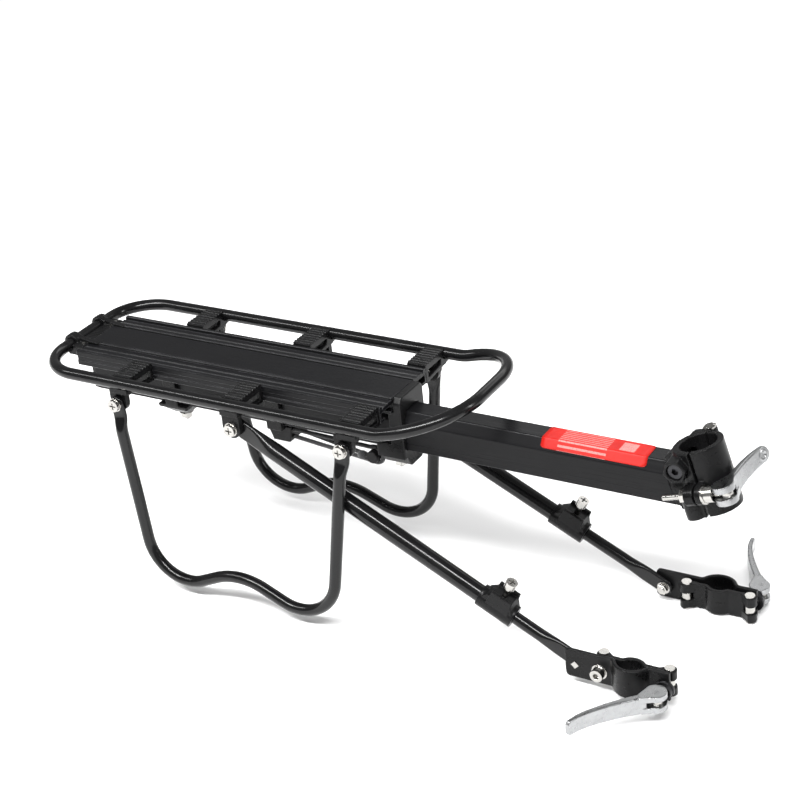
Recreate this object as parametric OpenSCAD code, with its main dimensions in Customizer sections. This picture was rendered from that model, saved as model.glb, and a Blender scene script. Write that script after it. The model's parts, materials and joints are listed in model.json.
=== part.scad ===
// Quick-release rear rack for a bicycle.
// A flat-topped beam clamps to the seatpost; the carrying deck slides along the beam,
// and two telescopic struts run from the deck down to clamps on the seatstays.
// Origin: centre of the seatpost bore. +X forwards, +Y to the rider's left, +Z up.

/* [Deck] */
// Distance between the centre lines of the two side rails
deck_width = 154; // [150:1:160]
// Length of the level part of the tube loop, from its rear centre line
loop_level = 368; // [364:1:370]
// Length of the upswept front part of the loop
loop_upswept = 70; // [66:1:74]
// Diameter of the loop tube and of the side guards
tube_d = 11; // [10:0.5:11]
// Height of the rails above the centre of the seatpost bore
deck_z = 24.2; // [24:0.1:25]
// How far the front of the loop is bent upwards, in degrees
front_lift = 15; // [10:0.5:18]

/* [Beam] */
// Width of the beam
beam_w = 31; // [30:0.5:31]
// Height of the beam
beam_h = 36; // [35:0.5:36]
// Length of the beam from its rear end to the seatpost bracket
beam_length = 592; // [585:1:600]

/* [Seatpost clamp] */
// Diameter of the seatpost
seatpost_d = 31.8; // [30.9:0.1:31.8]
// Lean of the seatpost from the vertical, in degrees
seatpost_lean = 17; // [15:0.5:19]
// Height of the clamp along the seatpost
clamp_h = 57; // [55:1:60]

/* [Struts] */
// Outside diameter of the upper strut tube
strut_d = 15.6; // [15:0.1:16]
// Diameter of the telescopic rod
rod_d = 11; // [10:0.5:11]
// Slope of the left strut below the horizontal, in degrees
slope_left = 26.4; // [24:0.1:28]
// Slope of the right strut below the horizontal, in degrees
slope_right = 26.8; // [24:0.1:28]
// Distance from pivot to seatstay clamp bolt, left strut
reach_left = 381; // [375:1:390]
// Distance from pivot to seatstay clamp bolt, right strut
reach_right = 361; // [355:1:390]

/* [Quick releases] */
// Length of the seatstay clamp levers from the cam pin to the tip
lever_length = 80; // [76:1:84]
// Length of the seatpost clamp lever from the cam pin to the tip
seat_lever_length = 70; // [64:1:74]

/* [Hidden] */
$fn = 48;
LEFT = 1;
RIGHT = -1;

// Running clearance, on the radius, between pieces that move on each other
slip = 0.06;

// Tubes of the deck
tube_r = tube_d / 2;
rail_y = deck_width / 2;
loop_rear_x = -630;
lift_x = loop_rear_x + loop_level;
rear_bend_r = 42;
front_bend_r = 60;
proud = 0.05;

// Beam section, from its underside up to the flat top
beam_bottom = -25.6;
beam_top = beam_bottom + beam_h;
beam_ridge = beam_top - 9.5;
beam_flat_w = 18.6;
beam_wall = 2.4;
beam_front_x = -24;
beam_rear_x = beam_front_x - beam_length;
beam_face = -28;
cap_t = 3;
label_x = [-143, -48];
// Share of the chamfer's height that the label leaves bare
label_low = 0.22;

// Deck plate, an extrusion with a raised middle band
plate_half = 40.5;
plate_top = 27;
plate_bottom = 12;
plate_wall = 2.4;
plate_rear_x = -612;
plate_front_x = -281;

// Brackets between plate and rails
bracket_x = [-532.5, -411.5, -290.5];
bracket_w = 19;
bracket_top = 28.6;
rib_h = 1.2;
rib_count = 8;
lug_in = 71.7;
lug_out = rail_y + 0.5;
lug_r = 9;

// Bolts of the deck
guard_bolt_z = 4.5;
guard_rear_x = -537;
guard_front_x = -296.5;
pivot_x = -413;
pivot_z = 0.5;
bolt_r = 2.5;
bolt_head_r = 5.6;
washer_r = 6.6;

// Side guards: corner points in the guard's plane, with the bend radius at each
guard_path = [[guard_rear_x, guard_bolt_z], [-514.2, -186], [-420, -143.7], [-323, -184.4],
    [guard_front_x, guard_bolt_z]];
guard_bends = [0, 41, 66, 42, 0];
guard_y = lug_out + 4.6;
guard_splay = 2.6;
guard_flat_l = 20;
guard_flat_t = 5;
guard_flat_r = 7.2;

// Hooks on the rear tube
hook_y = 20.6;
hook_block_half = 31;

// Saddles that carry the deck plate on the beam
saddle_gap = 0.3;
saddle_half = 20;
front_saddle_x = [-301, -273];
rear_saddle_x = [-541, -509];
mid_hanger_x = [-424, -397];
// x of each saddle bolt and z of the face its washer sits on, front first
saddle_bolt_at = [[-290, -44], [-525, -41]];
lug_x = -314;
lug_z = -44;
cord_lug_r = 6;

// Luggage cord: where its three runs start at the hanger, and the angles at which they reach
// the ring around the lug
cord_r = 2;
cord_y = -4;
ring_t = 3.4;
ring_w = 5.2;
cord_starts = [[-402, -7, -33], [-402, 1, -36.5], [-402, -5, -41.5]];
cord_ends = [120, 205, 260];

// Struts, measured along the strut from its pivot
strut_y = 69.5;
strut_r = strut_d / 2;
rod_r = rod_d / 2;
flat_t = 4.8;
strut_flat_r = 9;
strut_tube_from = 26;
strut_tube_to = 286;
collar_from = 262;
collar_to = 297;
collar_screw_x = 281;
rod_from = 130;
rod_flat_l = 32;
rod_flat_r = 7.5;

// Seatstay clamps: x from the strut bolt, y from the rack's middle plane, z from the strut bolt
stay_y = 74;
stay_bottom = -12;
stay_top = 12;
stay_plate_bottom = -13;
stay_plate_top = 14.5;
stay_wall = 3.5;
stay_plate_y = strut_y + flat_t / 2 + 0.1;
stay_centre_x = 50;
stay_arc_r = 15.8;
stay_arc_rise = 8.5;
jaw_y = 65.6;
hinge_x = 22.5;
eye_x = 81;
knuckle_r = 4.6;
eye_half_h = 3.2;
pin_r = 2.5;
shank_r = 3;
cam_y = 93;

// Quick-release cam and lever
cam_r = 9.2;
cam_offset = 1.6;
cam_gap = 0.25;
fork_inner = 2.7;
fork_outer = 8;
slot_r = 7;
slot_half = 6;
lever_half = 8;
// How far a lever turns away from the clamp, from where it is drawn
lever_travel = 110;
// Direction of each arm from its cam pin, and the direction in which a lever is fully closed
stay_arm_left = 120.5;
stay_arm_right = 134;
stay_closed = 180;

// Seatpost clamp, in a frame whose z is the seatpost's axis
post_r = seatpost_d / 2;
shell_r = post_r + 4.8;
back_r = post_r + 6;
split = 1.2;
seat_hinge_x = -0.5;
seat_hinge_y = 26;
seat_knuckle_r = 6;
seat_pin_r = 3;
knuckle_h = 9.5;
skewer_y = -26.5;
skewer_z = -5;
skewer_r = 2.5;
ear_back = -9.5;
ear_front = 5.2;
nut_face_r = 6.5;
washer_face_r = 8.7;
seat_cam_x = 25.5;
seat_arm = 178;
seat_closed = 183;
hex_x = -13;
hex_z = 17;
hex_r = 10.2;

// ---------- shared shapes ----------

function unit(v) = v / norm(v);
function turn_angle(a, b) = acos(max(-1, min(1, a * b)));
function side_of(a, b) = a.x * b.y - a.y * b.x > 0 ? 1 : -1;

// Distance from corner i to where its bend starts
function bend_start(path, bends, i) =
    (i == 0 || i == len(path) - 1) ? 0
    : bends[i] * tan(turn_angle(unit(path[i] - path[i - 1]), unit(path[i + 1] - path[i])) / 2);

function reach(side) = side == LEFT ? reach_left : reach_right;
function slope(side) = side == LEFT ? slope_left : slope_right;

// Leaves a left-hand piece as drawn, and mirrors it for the right
module sided(side) {
    mirror([0, side == RIGHT ? 1 : 0, 0]) children();
}

// Extrudes a section drawn with x across the rack and y upwards, from x0 to x1
module along_x(x0, x1) {
    translate([x0, 0, 0]) rotate([90, 0, 90]) linear_extrude(x1 - x0) children();
}

// Cylinder along Y between two y values
module across(x, z, y0, y1, r) {
    translate([x, y0, z]) rotate([-90, 0, 0]) cylinder(h = y1 - y0, r = r);
}

// Straight rod in the XY plane
module straight(a, b, r) {
    translate([a.x, a.y, 0]) rotate([0, 90, atan2(b.y - a.y, b.x - a.x)])
        cylinder(h = norm(b - a), r = r);
}

// Round tube along a path in the XY plane, with a bend at each inner corner.
// With rings, a faint raised ring marks where each straight run meets a bend.
module bent_tube(path, bends, r, rings = false) {
    last = len(path) - 1;
    for (i = [0 : last - 1]) {
        d = unit(path[i + 1] - path[i]);
        a = path[i] + d * bend_start(path, bends, i);
        b = path[i + 1] - d * bend_start(path, bends, i + 1);
        straight(a, b, r);
        if (rings && i > 0) straight(a - d / 2, a + d / 2, r + proud);
        if (rings && i < last - 1) straight(b - d / 2, b + d / 2, r + proud);
    }
    for (i = [1 : 1 : last - 1]) {
        d0 = unit(path[i] - path[i - 1]);
        d1 = unit(path[i + 1] - path[i]);
        turn = turn_angle(d0, d1);
        side = side_of(d0, d1);
        centre = path[i] - d0 * bend_start(path, bends, i) + side * bends[i] * [-d0.y, d0.x];
        from = atan2(-side * d0.x, side * d0.y) - (side > 0 ? 0 : turn);
        translate([centre.x, centre.y, 0]) rotate([0, 0, from])
            rotate_extrude(angle = turn) translate([bends[i], 0]) circle(r);
    }
}

// Pan-head bolt along +Y: head outside, washer, shank and nut; y0 is where the washer sits
module deck_bolt(x, z, y0, grip) {
    difference() {
        union() {
            across(x, z, y0, y0 + 1, washer_r);
            across(x, z, y0 + 1, y0 + 4.4, bolt_head_r);
        }
        translate([x, y0 + 4.4, z]) cube([6.4, 3, 1.4], center = true);
        translate([x, y0 + 4.4, z]) cube([1.4, 3, 6.4], center = true);
    }
    across(x, z, y0 - grip - 4.5, y0, bolt_r);
    translate([x, y0 - grip - 3.6, z]) rotate([-90, 0, 0]) cylinder(h = 3.5, r = 4.9, $fn = 6);
}

// ---------- beam and seatpost clamp ----------

module beam_section(inset) {
    half = beam_w / 2 - inset;
    flat = beam_flat_w / 2 - inset / 2;
    polygon([[-half, beam_bottom + inset], [half, beam_bottom + inset], [half, beam_ridge],
        [flat, beam_top - inset], [-flat, beam_top - inset], [-half, beam_ridge]]);
}

module in_clamp_frame() {
    rotate([0, -seatpost_lean, 0]) children();
}

// Everything in front of the plane where the beam meets the bracket
module before_face() {
    in_clamp_frame() translate([beam_face, -50, -100]) cube([100, 100, 200]);
}

module beam() {
    color("#18181a") difference() {
        along_x(beam_rear_x, beam_front_x + 12) difference() {
            beam_section(0);
            beam_section(beam_wall);
        }
        before_face();
    }
}

module beam_end_cap() {
    color("#101011") {
        along_x(beam_rear_x - cap_t, beam_rear_x) beam_section(0.3);
        along_x(beam_rear_x, beam_rear_x + 12) beam_section(beam_wall + 0.05);
    }
}

// Thin sticker folded over the flat top and the right-hand chamfer of the beam
module beam_label() {
    flat = beam_flat_w / 2;
    half = beam_w / 2;
    run = half - flat;
    rise = beam_top - beam_ridge;
    t = 0.3;
    color("#d8302a") along_x(label_x[0], label_x[1]) polygon([
        [flat, beam_top], [flat, beam_top + t], [-flat, beam_top + t],
        [-half + run * label_low - t, beam_ridge + rise * label_low + t],
        [-half + run * label_low, beam_ridge + rise * label_low], [-flat, beam_top]]);
}

module ear(x0, x1) {
    translate([x0, 0, skewer_z]) rotate([0, 90, 0]) linear_extrude(x1 - x0) {
        translate([0, skewer_y]) circle(8.5);
        translate([-8.5, skewer_y]) square([17, -skewer_y - post_r - 1]);
    }
}

module seatpost_bracket() {
    color("#151516") difference() {
        union() {
            in_clamp_frame() {
                difference() {
                    union() {
                        translate([0, 0, -clamp_h / 2]) cylinder(h = clamp_h, r = back_r);
                        translate([-14, 6, -clamp_h / 2]) cube([16, seat_hinge_y - 6, clamp_h]);
                    }
                    translate([-split, -60, -60]) cube([80, 120, 120]);
                }
                translate([-back_r - 3, -15, -clamp_h / 2 + 6]) cube([back_r, 30, clamp_h - 9]);
                ear(ear_back, -split);
                translate([-11.5, -17.5, -clamp_h / 2]) cylinder(h = 24, r = 8.5);
                translate([hex_x, 29, hex_z]) rotate([90, 0, 0]) cylinder(h = 58, r = hex_r, $fn = 6);
                translate([seat_hinge_x, seat_hinge_y, -clamp_h / 2]) cylinder(h = clamp_h, r = seat_knuckle_r);
            }
            intersection() {
                along_x(beam_front_x - 16, beam_front_x + 10) beam_section(0);
                before_face();
            }
            along_x(beam_front_x - 46, beam_front_x) beam_section(beam_wall + 0.02);
        }
        in_clamp_frame() {
            cylinder(h = 3 * clamp_h, r = post_r, center = true);
            // room for the jaw's middle knuckle
            translate([seat_hinge_x, seat_hinge_y, -knuckle_h - 0.2])
                cylinder(h = 2 * knuckle_h + 0.4, r = seat_knuckle_r + 0.8);
            translate([-4, seat_hinge_y - 5, -knuckle_h - 0.2]) cube([20, 20, 2 * knuckle_h + 0.4]);
            translate([seat_hinge_x, seat_hinge_y, 0]) cylinder(h = 2 * clamp_h, r = seat_pin_r, center = true);
            // skewer hole with a flat for its nut, and the pocket and hole of the hexagonal knuckle
            translate([-40, skewer_y, skewer_z]) rotate([0, 90, 0]) {
                cylinder(h = 60, r = skewer_r);
                cylinder(h = 40 + ear_back, r = nut_face_r);
            }
            translate([hex_x, -20, hex_z]) rotate([90, 0, 0]) cylinder(h = 20, r = 7);
            translate([hex_x, 60, hex_z]) rotate([90, 0, 0]) cylinder(h = 120, r = 3);
        }
    }
}

module bracket_bolt() {
    color("#303034") in_clamp_frame() translate([hex_x, 0, hex_z]) {
        difference() {
            translate([0, -20, 0]) rotate([90, 0, 0]) cylinder(h = 7, r = 6.2);
            translate([0, -24, 0]) rotate([90, 0, 0]) cylinder(h = 8, r = 3.2, $fn = 6);
        }
        translate([0, -16.2, 0]) rotate([90, 0, 0]) cylinder(h = 3.8, r = 3);
        translate([0, 29, 0]) rotate([-90, 0, 0]) cylinder(h = 4, r = 6.5, $fn = 6);
        translate([0, 16.2, 0]) rotate([-90, 0, 0]) cylinder(h = 12.8, r = 3);
    }
}

module seatpost_jaw() {
    front = 0.4;
    color("#151516") in_clamp_frame() difference() {
        union() {
            difference() {
                translate([0, 0, -clamp_h / 2]) cylinder(h = clamp_h, r = shell_r);
                translate([front - 80, -60, -60]) cube([80, 120, 120]);
                // room for the bracket's upper and lower knuckles
                for (z = [knuckle_h, -60 - knuckle_h])
                    translate([-10, seat_hinge_y - seat_knuckle_r - 1.4, z]) cube([30, 20, 60]);
            }
            ear(front, ear_front);
            translate([seat_hinge_x, seat_hinge_y, -knuckle_h]) cylinder(h = 2 * knuckle_h, r = seat_knuckle_r);
            translate([front, 12, -knuckle_h]) cube([5.1, seat_hinge_y - 12, 2 * knuckle_h]);
        }
        cylinder(h = 3 * clamp_h, r = post_r, center = true);
        translate([seat_hinge_x, seat_hinge_y, 0])
            cylinder(h = 2 * clamp_h, r = seat_pin_r + slip, center = true);
        // skewer hole with a flat for the washers
        translate([-20, skewer_y, skewer_z]) rotate([0, 90, 0]) cylinder(h = 60, r = skewer_r + 0.8);
        translate([ear_front, skewer_y, skewer_z]) rotate([0, 90, 0])
            cylinder(h = 30, r = washer_face_r);
    }
}

module seatpost_hinge_pin() {
    color("silver") in_clamp_frame() translate([seat_hinge_x, seat_hinge_y, -clamp_h / 2]) {
        cylinder(h = clamp_h, r = seat_pin_r);
        translate([0, 0, clamp_h]) cylinder(h = 1.6, r = 5.6);
        translate([0, 0, clamp_h + 1.6]) cylinder(h = 1.2, r1 = 5.6, r2 = 3.6);
        translate([0, 0, -2]) cylinder(h = 2, r = 5.6);
    }
}

// Skewer with its rear nut and the eye that carries the cam pin
module seatpost_skewer() {
    color("silver") in_clamp_frame() translate([0, skewer_y, skewer_z]) {
        translate([-31, 0, 0]) rotate([0, 90, 0]) cylinder(h = seat_cam_x + 31, r = skewer_r);
        translate([ear_back - 5.2, 0, 0]) rotate([0, 90, 0]) cylinder(h = 5, r = 5.8, $fn = 6);
        translate([seat_cam_x, 0, -fork_inner + 0.3]) cylinder(h = 2 * fork_inner - 0.6, r = 5);
        translate([seat_cam_x, 0, -fork_outer]) cylinder(h = 2 * fork_outer, r = pin_r);
    }
}

module seatpost_washers() {
    rear = ear_front + 0.05;
    front = seat_cam_x - cam_reach(seat_closed - seat_arm);
    color("silver") in_clamp_frame() translate([0, skewer_y, skewer_z]) difference() {
        union() {
            translate([rear, 0, 0]) rotate([0, 90, 0]) cylinder(h = 2.2, r = 8.2);
            translate([rear + 2.2, 0, 0]) rotate([0, 90, 0]) cylinder(h = front - rear - 2.2, r = 6.8);
        }
        rotate([0, 90, 0]) cylinder(h = 60, r = skewer_r + 1, center = true);
    }
}

// ---------- quick-release lever ----------

// Outline of the lever seen along the cam pin: x along the arm, y its thickness
function arm_y(t) = 2 * sin(180 * t) - 4 * t * t;
function arm_half(t) = 3.4 - 1.6 * t;

// How far the cam reaches from its pin towards the clamp, with the running gap, for a lever
// that is this many degrees short of closed
function cam_reach(closing) = cam_r + cam_offset * cos(closing) + cam_gap;

// Lever about a cam pin along Z at the origin. The clamp is towards -Y and the arm points to
// dir; when the arm points to closed, the cam's high point faces the clamp.
module cam_lever(length, dir, closed) {
    steps = 14;
    run = [for (i = [0 : steps]) i / steps];
    difference() {
        union() {
            rotate([0, 0, dir - closed - 90]) translate([cam_offset, 0, -fork_outer])
                cylinder(h = 2 * fork_outer, r = cam_r);
            rotate([0, 0, dir]) intersection() {
                translate([0, 0, -20]) linear_extrude(40) polygon(concat(
                    [for (t = run) [length * t, arm_y(t) + arm_half(t)]],
                    [for (i = [steps : -1 : 0]) [length * run[i], arm_y(run[i]) - arm_half(run[i])]]));
                rotate([90, 0, 0]) translate([0, 0, -30]) linear_extrude(60)
                    polygon([[0, -lever_half], [length - 2.5, 1 - lever_half], [length, 3.5 - lever_half],
                        [length, lever_half - 3.5], [length - 2.5, lever_half - 1], [0, lever_half]]);
            }
        }
        // fork slot for the eye, open in every direction the shank takes as the lever turns
        translate([0, 0, -fork_inner]) linear_extrude(2 * fork_inner) {
            circle(slot_r);
            for (i = [0 : 6]) rotate(dir - closed + i * (lever_travel + closed - dir) / 6)
                translate([-slot_half, -30]) square([2 * slot_half, 30]);
        }
        cylinder(h = 60, r = pin_r + slip, center = true);
    }
}

module seatpost_lever() {
    color("#c9cbcd") in_clamp_frame() translate([seat_cam_x, skewer_y, skewer_z])
        rotate([0, 0, -90]) cam_lever(seat_lever_length, seat_arm, seat_closed);
}

// ---------- deck ----------

module deck_loop() {
    color("#121213") {
        translate([0, 0, deck_z]) bent_tube(
            [[lift_x, -rail_y], [loop_rear_x, -rail_y], [loop_rear_x, rail_y], [lift_x, rail_y]],
            [0, rear_bend_r, rear_bend_r, 0], tube_r);
        translate([lift_x, 0, deck_z]) rotate([0, -front_lift, 0]) bent_tube(
            [[0, rail_y], [loop_upswept, rail_y], [loop_upswept, -rail_y], [0, -rail_y]],
            [0, front_bend_r, front_bend_r, 0], tube_r);
        for (y = [-rail_y, rail_y])
            translate([lift_x, y, deck_z]) sphere(tube_r + proud);
    }
}

// Half of the deck plate's upper outline: raised band, steps, grooves and edge rib
plate_edge = [[16.5, 26.4], [16.5, 24], [18.5, 24], [18.5, 25.2], [26, 25.2], [26, 24], [27.5, 24],
    [27.5, 25.2], [34, 25.2], [34, 23.8], [36.5, 23.8], [36.5, plate_top], [plate_half, plate_top]];

module plate_section() {
    flip = [for (i = [len(plate_edge) - 1 : -1 : 0]) [-plate_edge[i].x, plate_edge[i].y]];
    difference() {
        polygon(concat(flip, plate_edge, [[plate_half, plate_bottom], [-plate_half, plate_bottom]]));
        translate([-15.5, plate_bottom - 1]) square([31, 11.2]);
        for (s = [-1, 1]) translate([s * 28, 0]) {
            translate([-9.8, plate_bottom + plate_wall]) square([19.6, 7]);
            translate([-6, plate_bottom - 1]) square([12, 6]);
        }
    }
}

module deck_plate() {
    color("#222224") along_x(plate_rear_x, plate_front_x) plate_section();
}

// Block behind the plate, with two hooks round the loop's rear tube
module rear_hooks() {
    color("#131314") difference() {
        union() {
            for (y = [-hook_y, hook_y])
                across(loop_rear_x, deck_z, y - 4.5, y + 4.5, tube_r + 3);
            translate([loop_rear_x, -hook_block_half, deck_z - 8.5])
                cube([plate_rear_x - loop_rear_x, 2 * hook_block_half, 10]);
        }
        across(loop_rear_x, deck_z, -60, 60, tube_r);
    }
}

module hook_screws() {
    color("silver") for (y = [-hook_y - 3.9, 3.9 - hook_y, hook_y - 3.9, hook_y + 3.9])
        translate([plate_rear_x - 3.4, y, deck_z + 1.5]) cylinder(h = 1.4, r = 1.9);
}

// Open channel that hugs the beam, x range as given, reaching down to z
module saddle_channel(x, z) {
    along_x(x[0], x[1]) difference() {
        translate([-saddle_half, z]) square([2 * saddle_half, plate_bottom - z]);
        offset_beam();
    }
}

module offset_beam() {
    g = saddle_gap;
    half = beam_w / 2 + g;
    flat = beam_flat_w / 2 + g;
    polygon([[-half, beam_bottom - g], [half, beam_bottom - g], [half, beam_ridge],
        [flat, beam_top + g], [-flat, beam_top + g], [-half, beam_ridge]]);
}

module front_saddle() {
    color("#141415") difference() {
        union() {
            saddle_channel(front_saddle_x, -34);
            along_x(-284, -275) translate([-15.4, plate_bottom]) square([30.8, 10]);
            // carries on the plate's middle band
            along_x(plate_front_x, front_saddle_x[1]) polygon([[-saddle_half, plate_bottom],
                [saddle_half, plate_bottom], [saddle_half, 21.5], [saddle_half - 4, 26.4],
                [4 - saddle_half, 26.4], [-saddle_half, 21.5]]);
            along_x(front_saddle_x[0], front_saddle_x[1])
                polygon([[-15, -34], [15, -34], [9, -44], [-9, -44]]);
            across(lug_x, lug_z, -11, 11, cord_lug_r);
            translate([lug_x, 1, lug_z - 4]) cube([16, 10, 12]);
        }
        // the legs are narrow behind the front flange
        for (s = [-1, 1]) translate([front_saddle_x[0] - 1, s * 20 - 8, -20]) cube([16, 16, 60]);
        translate([saddle_bolt_at[0].x, 0, -80]) cylinder(h = 60, r = bolt_r);
    }
}

module rear_saddle() {
    color("#141415") difference() {
        union() {
            saddle_channel([-532, -518], -30);
            along_x(rear_saddle_x[0], rear_saddle_x[1])
                translate([-saddle_half, -30]) square([2 * saddle_half, 4.1]);
            translate([0, 18.5, 0]) rotate([90, 0, 0]) linear_extrude(37)
                polygon([[-541, -29], [-509, -29], [-516, -41], [-532, -41]]);
        }
        translate([saddle_bolt_at[1].x, 0, -80]) cylinder(h = 60, r = bolt_r);
    }
}

// Plain hanger under the beam that keeps the rear end of the stowed cord
module mid_hanger() {
    color("#141415") {
        saddle_channel([-418, -402], -30);
        translate([0, 12, 0]) rotate([90, 0, 0]) linear_extrude(24)
            polygon([[mid_hanger_x[0], -29], [mid_hanger_x[1], -29], [-400, -45], [-418, -45]]);
    }
}

module saddle_bolts() {
    color("silver") {
        for (b = saddle_bolt_at) translate([b.x, 0, b.y]) {
            cylinder(h = beam_bottom - b.y - 0.3, r = bolt_r);
            translate([0, 0, -1.2]) cylinder(h = 1.2, r = 6.8);
            translate([0, 0, -6]) cylinder(h = 4.8, r = 5.4, $fn = 6);
        }
    }
}

// Straight rod between two points
module rod_between(a, b, r) {
    v = b - a;
    translate(a) rotate([0, acos(v.z / norm(v)), atan2(v.y, v.x)]) cylinder(h = norm(v), r = r);
}

// Elastic luggage cord, stowed taut between the mid hanger and the front saddle's lug,
// where its runs meet in a flat ring around the lug
module luggage_cord() {
    end_r = cord_lug_r + cord_r + 0.4;
    color("#101010") {
        for (i = [0 : 2]) rod_between(cord_starts[i],
            [lug_x + end_r * cos(cord_ends[i]), cord_y, lug_z + end_r * sin(cord_ends[i])], cord_r);
        difference() {
            across(lug_x, lug_z, cord_y - ring_w / 2, cord_y + ring_w / 2, cord_lug_r + ring_t);
            across(lug_x, lug_z, -20, 20, cord_lug_r + 0.05);
        }
    }
}

// Cast bracket between deck plate and rail; the lug below the rail takes a bolt
module rail_bracket(x, bolt_x, bolt_z, lug_y) {
    half = bracket_w / 2;
    span = rail_y - plate_half;
    color("#17171a") difference() {
        union() {
            // top pad with ribs along the rack
            translate([x - half, plate_half, bracket_top - 3]) cube([bracket_w, span - 1, 3]);
            for (i = [0 : rib_count - 1])
                translate([x - half, plate_half + 2 + i * (span - 7) / (rib_count - 1), bracket_top])
                    cube([bracket_w, 2, rib_h]);
            // gussets below the pad
            for (gx = [x - half, x + half - 4]) along_x(gx, gx + 4) difference() {
                polygon([[plate_half, 28], [rail_y, 28], [rail_y, 14], [lug_y, 14], [plate_half, 11]]);
                polygon([[plate_half + 4, 23], [rail_y - 9, 23], [rail_y - 10, 17.5], [plate_half + 4, 15]]);
            }
            // wall against the plate and seat under the rail
            translate([x - half, plate_half, 12]) cube([bracket_w, 3, 15]);
            along_x(x - half, x + half)
                polygon([[lug_y, 15], [rail_y + 4, 15], [rail_y + 4, 20], [rail_y - 6, 24], [lug_y - 3, 20]]);
            // lug
            across(bolt_x, bolt_z, lug_y, lug_out, lug_r);
            translate([bolt_x - lug_r, lug_y, bolt_z]) cube([2 * lug_r, lug_out - lug_y, 17 - bolt_z]);
        }
        translate([x - 50, rail_y, deck_z]) rotate([0, 90, 0]) cylinder(h = 100, r = tube_r);
        across(bolt_x, bolt_z, 0, 120, bolt_r);
    }
}

// Where the guard's round tube starts below each of its flattened ends
function guard_run() = [for (i = [0 : len(guard_path) - 1])
    i == 0 ? guard_path[0] + unit(guard_path[1] - guard_path[0]) * guard_flat_l
    : i == len(guard_path) - 1
        ? guard_path[i] + unit(guard_path[i - 1] - guard_path[i]) * guard_flat_l
        : guard_path[i]];

module guard() {
    color("#121213") {
        translate([0, guard_y, guard_bolt_z]) rotate([guard_splay, 0, 0])
            translate([0, 0, -guard_bolt_z]) rotate([90, 0, 0])
                bent_tube(guard_run(), guard_bends, tube_r, true);
        for (i = [0, len(guard_path) - 1]) {
            top = guard_path[i];
            next = guard_path[i == 0 ? 1 : i - 1];
            lean = atan2(next.x - top.x, top.y - next.y);
            translate([top.x, lug_out + 0.05, top.y]) rotate([0, -lean, 0])
                rotate([-90, 0, 0]) linear_extrude(guard_flat_t) difference() {
                    union() {
                        circle(guard_flat_r);
                        polygon([[-guard_flat_r, 0], [guard_flat_r, 0], [guard_flat_r, guard_flat_l - 6],
                            [tube_r - 0.5, guard_flat_l + 8], [0.5 - tube_r, guard_flat_l + 8],
                            [-guard_flat_r, guard_flat_l - 6]]);
                    }
                    circle(bolt_r);
                }
        }
    }
}

module guard_bolts() {
    color("silver") for (side = [LEFT, RIGHT]) sided(side)
        for (x = [guard_rear_x, guard_front_x])
            deck_bolt(x, guard_bolt_z, lug_out + guard_flat_t + 0.1, lug_out + guard_flat_t - lug_in + 0.1);
}

module strut_pivot_bolts() {
    color("silver") for (side = [LEFT, RIGHT]) sided(side)
        deck_bolt(pivot_x, pivot_z, lug_out + 0.05, lug_out - strut_y + flat_t / 2 + 0.2);
}

// ---------- struts ----------

// Puts a piece drawn along +X at the strut's pivot, sloping down to the front
module on_strut(side) {
    sided(side) translate([pivot_x, strut_y, pivot_z]) rotate([0, slope(side), 0]) children();
}

// Flattened tube end with a bolt hole, the bolt at the origin and the tube along +X
module flat_end(length, r, hole_r) {
    rotate([-90, 0, 0]) translate([0, 0, -flat_t / 2]) linear_extrude(flat_t) difference() {
        union() {
            circle(r);
            translate([0, -r]) square([length, 2 * r]);
        }
        circle(hole_r);
    }
}

module strut(side) {
    color("#121213") on_strut(side) {
        flat_end(strut_tube_from + 4, strut_flat_r, bolt_r + slip);
        difference() {
            translate([strut_tube_from, 0, 0]) rotate([0, 90, 0])
                cylinder(h = strut_tube_to - strut_tube_from, r = strut_r);
            translate([strut_tube_from + 30, 0, 0]) rotate([0, 90, 0])
                cylinder(h = strut_tube_to, r = rod_r + slip);
        }
    }
}

// Clamping collar at the lower end of the strut tube
module collar(side) {
    length = collar_to - collar_from;
    color("#151517") on_strut(side) difference() {
        union() {
            translate([collar_from, 0, 0]) rotate([0, 90, 0]) cylinder(h = length, r = strut_r + 2.2);
            // shouldered block for the screw, with an upright ear on either side
            translate([0, 8.4, 0]) rotate([90, 0, 0]) linear_extrude(16.8)
                polygon([[collar_from + 1, -6], [collar_to - 1, -6], [collar_to - 1, 5],
                    [collar_to - 7, 14.6], [collar_from + 10, 14.6], [collar_from + 3, 8]]);
            for (y = [-6.2, 9.4]) translate([0, y, 0]) rotate([90, 0, 0]) linear_extrude(3.2)
                polygon([[collar_screw_x - 11, 4], [collar_screw_x + 11, 4],
                    [collar_screw_x + 10, 17.6], [collar_screw_x - 10, 17.6]]);
        }
        translate([collar_from - 1, 0, 0]) rotate([0, 90, 0])
            cylinder(h = strut_tube_to - collar_from + 1, r = strut_r);
        translate([collar_from, 0, 0]) rotate([0, 90, 0]) cylinder(h = length + 1, r = rod_r + slip);
        translate([collar_screw_x, 0, 0]) cylinder(h = 60, r = 2.6);
    }
}

module collar_screw(side) {
    color("silver") on_strut(side) translate([collar_screw_x, 0, 0]) {
        translate([0, 0, strut_r + 0.02]) cylinder(h = 17, r = 2.6);
        difference() {
            translate([0, 0, 24.5]) cylinder(h = 7, r = 5.2);
            translate([0, 0, 30]) cube([6.5, 1.3, 3.1], center = true);
            translate([0, 0, 30]) cube([1.3, 6.5, 3.1], center = true);
        }
    }
}

module rod(side) {
    flat_from = reach(side) - rod_flat_l;
    color("#121213") on_strut(side) {
        translate([rod_from, 0, 0]) rotate([0, 90, 0]) cylinder(h = flat_from + 4 - rod_from, r = rod_r);
        translate([reach(side), 0, 0]) rotate([0, 0, 180])
            flat_end(rod_flat_l, rod_flat_r, bolt_r + slip);
    }
}

// ---------- seatstay clamps ----------

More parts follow.
